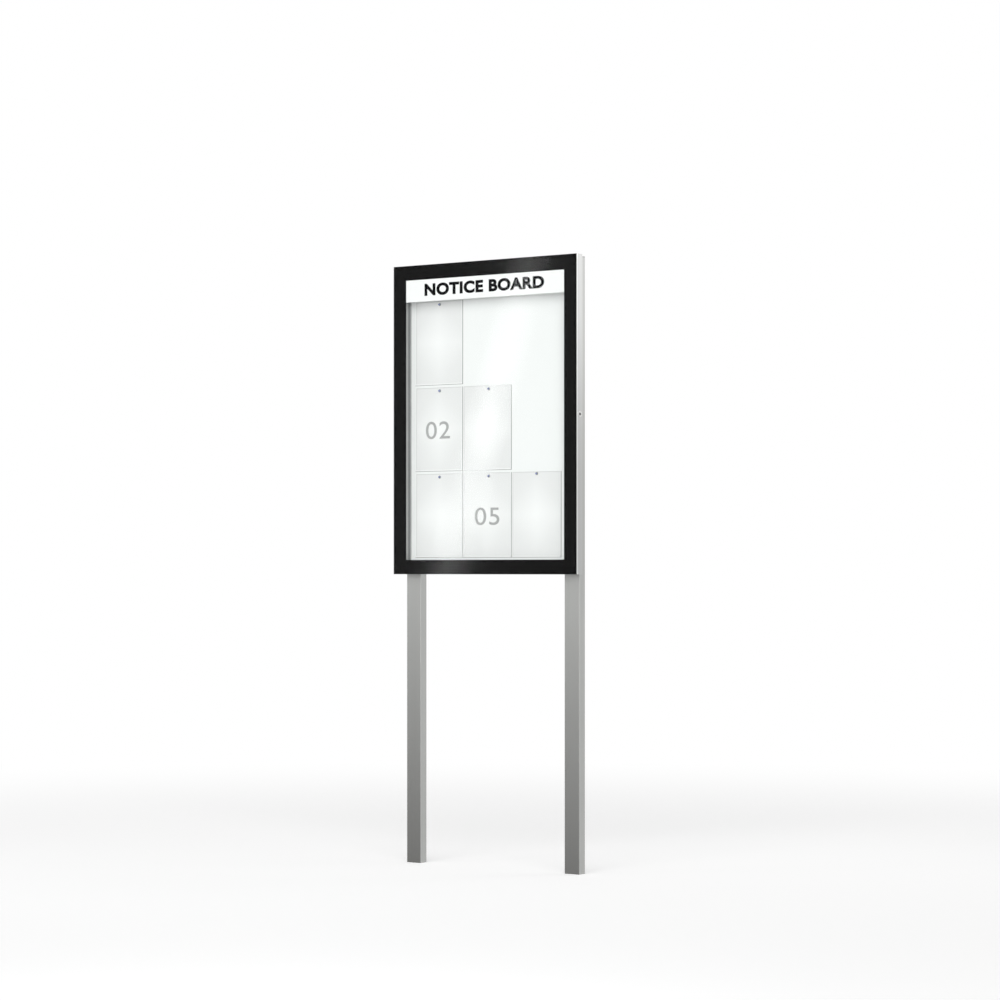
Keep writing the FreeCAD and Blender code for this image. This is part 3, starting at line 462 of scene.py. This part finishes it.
# Light goes straight through to the board, and the camera and mirrors see glass.
place = add_node(tree, "ShaderNodeTexCoord")
waves = add_node(tree, "ShaderNodeTexNoise", Scale=3.0, Detail=1.0)
bump = add_node(tree, "ShaderNodeBump", Strength=0.01, Distance=0.0005)
seen = add_node(tree, "ShaderNodeLightPath")
clear = add_node(tree, "ShaderNodeBsdfTransparent", Color=LIGHT_TINT)
either = add_node(tree, "ShaderNodeMixShader")
lit = calculated(tree, "MAXIMUM", seen.outputs["Is Shadow Ray"], seen.outputs["Is Diffuse Ray"])
join(
    tree,
    place.outputs["Object"], waves.inputs["Vector"],
    waves.outputs["Fac"], bump.inputs["Height"],
    bump.outputs["Normal"], shader.inputs["Coat Normal"],
    spread(tree, over_border, WINDOW_GLOSS, BORDER_GLOSS), shader.inputs["Coat Weight"],
    lit, either.inputs[0],
    shader.outputs[0], either.inputs[1],
    clear.outputs[0], either.inputs[2],
    either.outputs[0], tree.nodes["Material Output"].inputs["Surface"],
)
pane = softened("glass_pane", glass_finish, GLASS_EDGE)

# The ground edge scatters the light that runs in the pane, and shines as a dull metal does.
edge_finish, shader = grained(
    "ground_glass_edge", GROUND_EDGE_GREY, smooth=0.36, rough=0.46, scale=600.0, depth=0.1,
    reach=0.0002,
)
shader.inputs["Metallic"].default_value = GROUND_EDGE_METAL
pane.data.materials.append(edge_finish)
for face in pane.data.polygons:
    face.material_index = 1 if abs(face.normal.y) < EDGE_FACING else 0

# The back of the pane goes a hair into the ink, so that the two don't share a plane.
pane_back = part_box("glass_pane")[1].y
for point in pane.data.vertices:
    if point.co.y > pane_back - BACK_WITHIN:
        point.co.y += INK_BITE


# Border. Black ceramic ink, printed round the back of the glass and burnt in as the pane is
# toughened, so it is dead flat.

INK_BLACK = (0.001, 0.001, 0.001)

border_finish, shader = grained("ceramic_ink", INK_BLACK, smooth=0.14, rough=0.18, scale=300.0)
shader.inputs["Specular IOR Level"].default_value = 0.0
repaint("black_border", border_finish)


# Header. A white acrylic panel that hangs behind the glass on two brackets, with its words in
# letters cut from black film.

HEADER_WHITE = (0.955, 0.955, 0.955)
HEADER_SHINE = 0.2
HEADER_EDGE = 0.0003
FILM_BLACK = (0.004, 0.004, 0.005)
FILM_THICK = 0.0001
LETTER_SPACE = 1.08
HEADING_TALL = 0.044
HEADING_WIDE = 0.523
HEADING_WEIGHT = 0.050
HEADING_ASIDE = -0.0005
HEADING_RAISED = 0.00115

header_finish, shader = grained("white_acrylic", HEADER_WHITE, smooth=0.26, rough=0.36, scale=14.0)
shader.inputs["Specular IOR Level"].default_value = HEADER_SHINE
softened("header_panel", header_finish, HEADER_EDGE)


def lettering(name, words, material, width, height, centre, weight):
    """Flat upright letters, as thick as film, that face the front, with their middle at centre."""
    curve = bpy.data.curves.new(name, "FONT")
    curve.body = words
    curve.size = 1.0
    curve.bevel_depth = weight
    curve.bevel_resolution = 0
    curve.space_character = LETTER_SPACE
    curve.align_x = "CENTER"
    curve.align_y = "CENTER"
    text = set_up(name, curve)
    bpy.context.view_layer.update()
    mesh = bpy.data.meshes.new_from_object(text)
    bpy.data.objects.remove(text)
    low = Vector(min(v.co[i] for v in mesh.vertices) for i in range(3))
    high = Vector(max(v.co[i] for v in mesh.vertices) for i in range(3))
    size = high - low
    mesh.transform(Matrix.Translation(-(low + high) / 2))
    mesh.transform(Matrix.Diagonal((width / size.x, height / size.y, FILM_THICK / size.z, 1)))
    mesh.transform(Matrix.Rotation(math.radians(90), 4, "X"))
    mesh.transform(Matrix.Translation(centre))
    mesh.materials.clear()
    mesh.materials.append(material)
    return set_up(name, mesh)


film_finish, shader = grained("black_film", FILM_BLACK, smooth=0.3, rough=0.42, scale=80.0)
shader.inputs["Specular IOR Level"].default_value = 0.0
low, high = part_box("header_panel")
heading = lettering(
    "header_lettering", "NOTICE BOARD", film_finish, HEADING_WIDE, HEADING_TALL,
    (HEADING_ASIDE, low.y - FILM_THICK, (low.z + high.z) / 2 + HEADING_RAISED), HEADING_WEIGHT,
)
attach(heading, "door")


# Sheets. A4 paper on the board, each under one magnet, with lower corners that lift a little.
# A sheet is darker towards its edges, with a darker line at its left and top, a pale margin at its
# sides and foot, and a painted shadow, a dark grey strip that the sheet carries past its right
# edge and foot, where it stands off the board.

PAPER_TONES = ((0.0, 0.95), (0.05, 0.91), (0.105, 0.87), (0.1485, 0.835), (0.253, 0.805))
# The dark grey below is a painted shadow, beyond the sheet's right edge and foot.
PAPER_SHADOW_GREY = (0.30, 0.30, 0.30)
PAPER_LIP = (0.93, 0.93, 0.93)
# A darker line along the sheet's left and top edges.
PAPER_DARK_EDGE = (0.70, 0.70, 0.70)
PAPER_ROUGHNESS = 0.8
PAPER_SHINE = 0.05
PAPER_THICK = 0.0002
PAPER_CELL = 0.01
CORNER_LIFT = 0.0006
CORNER_CURL = 4
# The painted shadow strip reaches this far past the sheet's right edge and foot.
SHADOW_SIDE = 0.0028
SHADOW_FOOT = 0.0016
LIP = 0.004
DARK_EDGE_WIDE = 0.003
MARGIN = 0.003
CREASE_OVER = math.radians(30)
SHEETS = (
    "left_top", "left_middle", "left_bottom", "centre_middle", "centre_bottom", "right_bottom",
)

low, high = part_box("notice_left_top")
paper_wide = high.x - low.x
paper_tall = high.z - low.z


def tone_ramp(tree, value, tones):
    """Greys at given values, with even steps between them."""
    reach = tones[-1][0]
    ramp = add_node(tree, "ShaderNodeValToRGB")
    stops = ramp.color_ramp.elements
    while len(stops) < len(tones):
        stops.new(0.5)
    for stop, (at, grey) in zip(stops, tones):
        stop.position = at / reach
        stop.color = (grey, grey, grey, 1)
    join(tree, spread(tree, value, 0.0, 1.0, 0.0, reach), ramp.inputs["Fac"])
    return ramp.outputs["Color"]


def paper_colour(tree):
    """The sheet's tones from its middle outwards, then its darker edge line, its margin and its
    painted shadow strip.
    """
    place = add_node(tree, "ShaderNodeTexCoord")
    centre = add_node(
        tree, "ShaderNodeMapping",
        Scale=(paper_wide + SHADOW_SIDE, paper_tall + SHADOW_FOOT, 0.0),
        Location=(-paper_wide / 2, -paper_tall / 2 - SHADOW_FOOT, 0.0),
    )
    sides = add_node(tree, "ShaderNodeSeparateXYZ")
    join(tree, place.outputs["UV"], centre.inputs[0], centre.outputs[0], sides.inputs[0])
    right = sides.outputs["X"]
    up = sides.outputs["Y"]
    aside = calculated(tree, "ABSOLUTE", right)
    outwards = calculated(tree, "ADD", aside, calculated(tree, "ABSOLUTE", up))
    colour = tone_ramp(tree, outwards, PAPER_TONES)
    half_wide = paper_wide / 2
    half_tall = paper_tall / 2
    for grey, upright, level in (
        (
            PAPER_DARK_EDGE,
            calculated(tree, "LESS_THAN", right, MARGIN + DARK_EDGE_WIDE - half_wide),
            calculated(tree, "GREATER_THAN", up, half_tall - DARK_EDGE_WIDE),
        ),
        (
            PAPER_LIP,
            calculated(tree, "GREATER_THAN", aside, half_wide - MARGIN),
            calculated(tree, "LESS_THAN", up, LIP - half_tall),
        ),
        (
            PAPER_SHADOW_GREY,
            calculated(tree, "GREATER_THAN", right, half_wide),
            calculated(tree, "LESS_THAN", up, -half_tall),
        ),
    ):
        colour = blend_colours(tree, calculated(tree, "MAXIMUM", upright, level), colour, grey)
    return colour


def hung_sheet(low, high):
    """A sheet of paper in front of the board, with its lower corners lifted."""
    paper = bmesh.new()
    paper.loops.layers.uv.new("paper")
    bmesh.ops.create_grid(
        paper,
        x_segments=round(paper_wide / PAPER_CELL),
        y_segments=round(paper_tall / PAPER_CELL),
        size=0.5,
        calc_uvs=True,
    )
    bmesh.ops.transform(
        paper,
        verts=paper.verts,
        matrix=Matrix.Translation(((low.x + high.x) / 2, low.y, (low.z + high.z) / 2))
        @ Matrix.Rotation(math.radians(90), 4, "X")
        @ Matrix.Diagonal((high.x - low.x, high.z - low.z, 1, 1)),
    )
    for point in paper.verts:
        across = abs(2 * (point.co.x - low.x) / (high.x - low.x) - 1)
        down = 1 - (point.co.z - low.z) / (high.z - low.z)
        point.co.y -= CORNER_LIFT * (across * down) ** CORNER_CURL
    bmesh.ops.solidify(paper, geom=paper.faces[:], thickness=PAPER_THICK)
    bmesh.ops.recalc_face_normals(paper, faces=paper.faces)
    return paper


paper_finish, tree, shader = new_finish("paper", PAPER_LIP, PAPER_ROUGHNESS)
shader.inputs["Specular IOR Level"].default_value = PAPER_SHINE
place = add_node(tree, "ShaderNodeTexCoord")
fibres = add_node(tree, "ShaderNodeTexNoise", Scale=160.0, Detail=4.0)
join(
    tree,
    paper_colour(tree), shader.inputs["Base Color"],
    place.outputs["Object"], fibres.inputs["Vector"],
)
roughen(tree, shader, fibres.outputs["Fac"], strength=0.06, reach=0.0002)

for name in SHEETS:
    low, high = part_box(f"notice_{name}")
    # Each sheet reaches past its right edge and foot to carry its painted shadow.
    low.z -= SHADOW_FOOT
    high.x += SHADOW_SIDE
    paper = hung_sheet(low, high)
    mesh = bpy.data.meshes.new(f"paper_{name}")
    paper.to_mesh(mesh)
    paper.free()
    mesh.materials.append(paper_finish)
    mesh.polygons.foreach_set("use_smooth", [True] * len(mesh.polygons))
    mesh.set_sharp_from_angle(angle=CREASE_OVER)
    piece = set_up(f"paper_{name}", mesh)
    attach(piece, "stand")
    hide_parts(f"notice_{name}")


# Sheet numbers. Thin grey numerals on two of the sheets, printed in toner that is slightly
# uneven in tone.

TONER_GREY = (0.42, 0.42, 0.42)
TONER_DARK = (0.36, 0.36, 0.36)
TONER_LIGHT = (0.46, 0.46, 0.46)
NUMBER_WIDE = 0.108
NUMBER_TALL = 0.062
NUMBER_WEIGHT = 0.002
TONER_STAND_OFF = 0.0004
NUMBERS = (("02", "left_middle", -0.0041, -0.0035), ("05", "centre_bottom", 0.0009, -0.005))

print_finish, tree, shader = new_finish("grey_print", TONER_GREY, roughness=0.6)
place = add_node(tree, "ShaderNodeTexCoord")
toner = add_node(tree, "ShaderNodeTexNoise", Scale=500.0, Detail=2.0)
join(
    tree,
    place.outputs["Object"], toner.inputs["Vector"],
    blend_colours(tree, toner.outputs["Fac"], TONER_DARK, TONER_LIGHT), shader.inputs["Base Color"],
)
for number, sheet, aside, raised in NUMBERS:
    low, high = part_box(f"notice_{sheet}")
    piece = lettering(
        f"sheet_number_{number}", number, print_finish, NUMBER_WIDE, NUMBER_TALL,
        ((low.x + high.x) / 2 + aside, low.y - TONER_STAND_OFF, (low.z + high.z) / 2 + raised),
        NUMBER_WEIGHT,
    )
    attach(piece, "stand")


# Magnets. Small knobs in a blue-violet lacquer, each on a steel plate, that pin the sheets to
# the board. The plates are real, but their dark grey is a painted shadow of the knobs on the sheets.

MAGNET_BLUE = (0.24, 0.27, 0.45)
MAGNET_EDGE = 0.0008
MAGNET_SEGMENTS = 3
PLATE_SHADE_GREY = (0.36, 0.38, 0.36)
PLATE_EDGE = 0.0003

magnet_finish = drawn_metal(
    "lacquered_magnet", MAGNET_BLUE, NO_LINES, roughness=0.42, fineness=300.0
)
softened("notice_magnets", magnet_finish, MAGNET_EDGE, MAGNET_SEGMENTS)
# The plate's dark grey is a painted shadow of the knob.
plate_shade_finish = drawn_metal(
    "plate_painted_shade", PLATE_SHADE_GREY, NO_LINES, roughness=0.45, contrast=0.08, fineness=300.0
)
softened("magnet_plates", plate_shade_finish, PLATE_EDGE)


# Hinges. Stainless leaves, screwed to the door and to the case, pressed and rolled round a
# loose pin and brushed along their height.

HINGE_GREY = (0.58, 0.58, 0.57)
HINGE_LINES = (1, 1, 0.05)
HINGE_EDGE = 0.0002

hinge_finish = drawn_metal("brushed_hinge", HINGE_GREY, HINGE_LINES, roughness=0.34)
for name in ("lower", "middle", "upper"):
    for part in ("case_leaf", "door_leaf", "pin"):
        softened(f"hinge_{name}_{part}", hinge_finish, HINGE_EDGE)


# Lock. A nickel plated barrel with a turning core and its keyway, a plated hook cam behind it,
# and the keeper on the case with the stud that the hook goes behind. The core is near black, a
# painted shade for the dark of its keyway.

NICKEL_GREY = (0.66, 0.66, 0.65)
CORE_SHADE_BLACK = (0.05, 0.05, 0.05)
BARREL_EDGE = 0.0003
LOCK_EDGE = 0.0002

nickel_finish = drawn_metal(
    "nickel_plate", NICKEL_GREY, NO_LINES, roughness=0.24, contrast=0.05, fineness=250.0
)
# The core's near black is a painted shade for its keyway.
core_shade_finish = drawn_metal(
    "core_painted_shade", CORE_SHADE_BLACK, NO_LINES, roughness=0.35, contrast=0.1, fineness=250.0
)
softened("lock_barrel", nickel_finish, BARREL_EDGE)
softened("lock_plug", core_shade_finish, LOCK_EDGE)
for node in ("lock_nut", "lock_cam", "lock_keeper"):
    softened(node, plated_finish, LOCK_EDGE)


# Floor. A plain pale studio floor, not part of the object, that fades into the white surround
# a few metres away from the posts.

FLOOR_HALF = 30
FLOOR_WHITE = (0.9, 0.9, 0.9)
FLOOR_LIFT = 0.38
FADE_START = 2.0
FADE_END = 6.0

floor = bpy.data.meshes.new("studio_floor")
plane = bmesh.new()
bmesh.ops.create_grid(plane, x_segments=1, y_segments=1, size=FLOOR_HALF)
plane.to_mesh(floor)
plane.free()
floor_piece = set_up("studio_floor", floor)
floor_finish, tree, shader = new_finish("pale_floor", FLOOR_WHITE, roughness=0.9)
shader.inputs["Specular IOR Level"].default_value = 0.0
shader.inputs["Emission Color"].default_value = (1, 1, 1, 1)


def shown_ray(tree):
    """1 where the ray is the camera's, a mirrored one or one through glass."""
    seen = add_node(tree, "ShaderNodeLightPath").outputs
    direct = calculated(tree, "MAXIMUM", seen["Is Camera Ray"], seen["Is Glossy Ray"])
    return calculated(tree, "MAXIMUM", direct, seen["Is Transmission Ray"])


place = add_node(tree, "ShaderNodeTexCoord")
reach = add_node(tree, "ShaderNodeVectorMath", operation="LENGTH")
far = add_node(tree, "ShaderNodeMapRange", interpolation_type="SMOOTHSTEP")
far.inputs["From Min"].default_value = FADE_START
far.inputs["From Max"].default_value = FADE_END
white = add_node(tree, "ShaderNodeEmission", Strength=1.0)
backdrop = add_node(tree, "ShaderNodeMixShader")
shown = shown_ray(tree)
join(
    tree,
    calculated(tree, "MULTIPLY", shown, FLOOR_LIFT), shader.inputs["Emission Strength"],
    place.outputs["Object"], reach.inputs[0],
    reach.outputs["Value"], far.inputs["Value"],
    calculated(tree, "MULTIPLY", far.outputs["Result"], shown), backdrop.inputs[0],
    shader.outputs[0], backdrop.inputs[1],
    white.outputs[0], backdrop.inputs[2],
    backdrop.outputs[0], tree.nodes["Material Output"].inputs["Surface"],
)
floor.materials.append(floor_finish)


# Studio. A white surround, a broad soft key light from the right of the front and a low fill
# softbox there, a leaning strip softbox at the left that the glass mirrors as a band, and a
# softbox behind the right side.

SURROUND_LIGHT = 0.34
KEY_LIGHT = 2.07
KEY_SPREAD = math.radians(65)
KEY_PLACE = (1.3, -2.4, 0.95)
KEY_TARGET = (0, 0, 0)
STRIP_LIGHT = 8.0
STRIP_PLACE = (-1.86, -2.6, 1.75)
STRIP_TARGET = (0, 0, 1.6)
STRIP_SIZE = (0.22, 1.9)
STRIP_LEAN = math.radians(-15)
SIDE_LIGHT = 8.0
SIDE_PLACE = (1.5, 1.5, 2.6)
SIDE_TARGET = (0.4, 0.0, 1.9)
SIDE_SIZE = (1.0, 1.9)
FILL_LIGHT = 46.0
FILL_PLACE = (2.2, -4.0, 0.2)
FILL_TARGET = (0.0, 0.0, 1.7)
FILL_SIZE = (1.6, 1.6)

world = bpy.data.worlds.new("studio")
bpy.context.scene.world = world
world.use_nodes = True
tree = world.node_tree
plain = tree.nodes["Background"]
plain.inputs["Color"].default_value = (1, 1, 1, 1)
plain.inputs["Strength"].default_value = SURROUND_LIGHT
shown_world = add_node(tree, "ShaderNodeBackground", Color=(1, 1, 1, 1), Strength=1.0)
choice = add_node(tree, "ShaderNodeMixShader")
join(
    tree,
    shown_ray(tree), choice.inputs[0],
    plain.outputs[0], choice.inputs[1],
    shown_world.outputs[0], choice.inputs[2],
    choice.outputs[0], tree.nodes["World Output"].inputs["Surface"],
)


def hang(name, lamp, place, target, lean=0.0):
    """A lamp at its place, aimed at the target and leaning about its own axis."""
    holder = set_up(name, lamp)
    aim = (Vector(target) - Vector(place)).to_track_quat("-Z", "Y").to_matrix().to_4x4()
    holder.matrix_world = Matrix.Translation(place) @ aim @ Matrix.Rotation(lean, 4, "Z")
    holder.visible_camera = False


def softbox(name, power, size, place, target, lean=0.0):
    """An area lamp that is brightest in its middle and fades to its edges."""
    lamp = bpy.data.lights.new(name, "AREA")
    lamp.shape = "RECTANGLE"
    lamp.size, lamp.size_y = size
    lamp.energy = power
    lamp.use_nodes = True
    tree = lamp.node_tree
    across = add_node(tree, "ShaderNodeNewGeometry")
    centre = add_node(tree, "ShaderNodeMapping", Scale=(2, 2, 0), Location=(-1, -1, 0))
    parts = add_node(tree, "ShaderNodeSeparateXYZ")
    join(tree, across.outputs["Parametric"], centre.inputs[0], centre.outputs[0], parts.inputs[0])
    aside = calculated(tree, "ABSOLUTE", parts.outputs["X"])
    along = calculated(tree, "POWER", calculated(tree, "ABSOLUTE", parts.outputs["Y"]), 4.0)
    glow = calculated(
        tree, "MULTIPLY", spread(tree, aside, 2.0, 0.0), spread(tree, along, 1.0, 0.0)
    )
    join(tree, glow, tree.nodes["Emission"].inputs["Strength"])
    hang(name, lamp, place, target, lean)


key = bpy.data.lights.new("key", "SUN")
key.energy = KEY_LIGHT
key.angle = KEY_SPREAD
hang("key", key, KEY_PLACE, KEY_TARGET)
softbox("strip_softbox", STRIP_LIGHT, STRIP_SIZE, STRIP_PLACE, STRIP_TARGET, STRIP_LEAN)
softbox("side_softbox", SIDE_LIGHT, SIDE_SIZE, SIDE_PLACE, SIDE_TARGET)
softbox("fill_softbox", FILL_LIGHT, FILL_SIZE, FILL_PLACE, FILL_TARGET)


# Camera. About a metre above the ground, to the right of the board, level, with a long lens
# that is shifted upwards so that the posts stay upright.

LENS = 108.2
SENSOR = 36
LENS_SHIFT = 0.0687
CAMERA_PLACE = (6.2968, -8.5067, 1.0536)
CAMERA_TURN = math.radians(36.4)

camera = bpy.data.cameras.new("camera")
camera.lens = LENS
camera.sensor_width = SENSOR
camera.shift_y = LENS_SHIFT
holder = set_up("camera", camera)
holder.location = CAMERA_PLACE
holder.rotation_euler = (math.radians(90), 0, CAMERA_TURN)
bpy.context.scene.camera = holder
bpy.context.scene.view_settings.view_transform = "Standard"
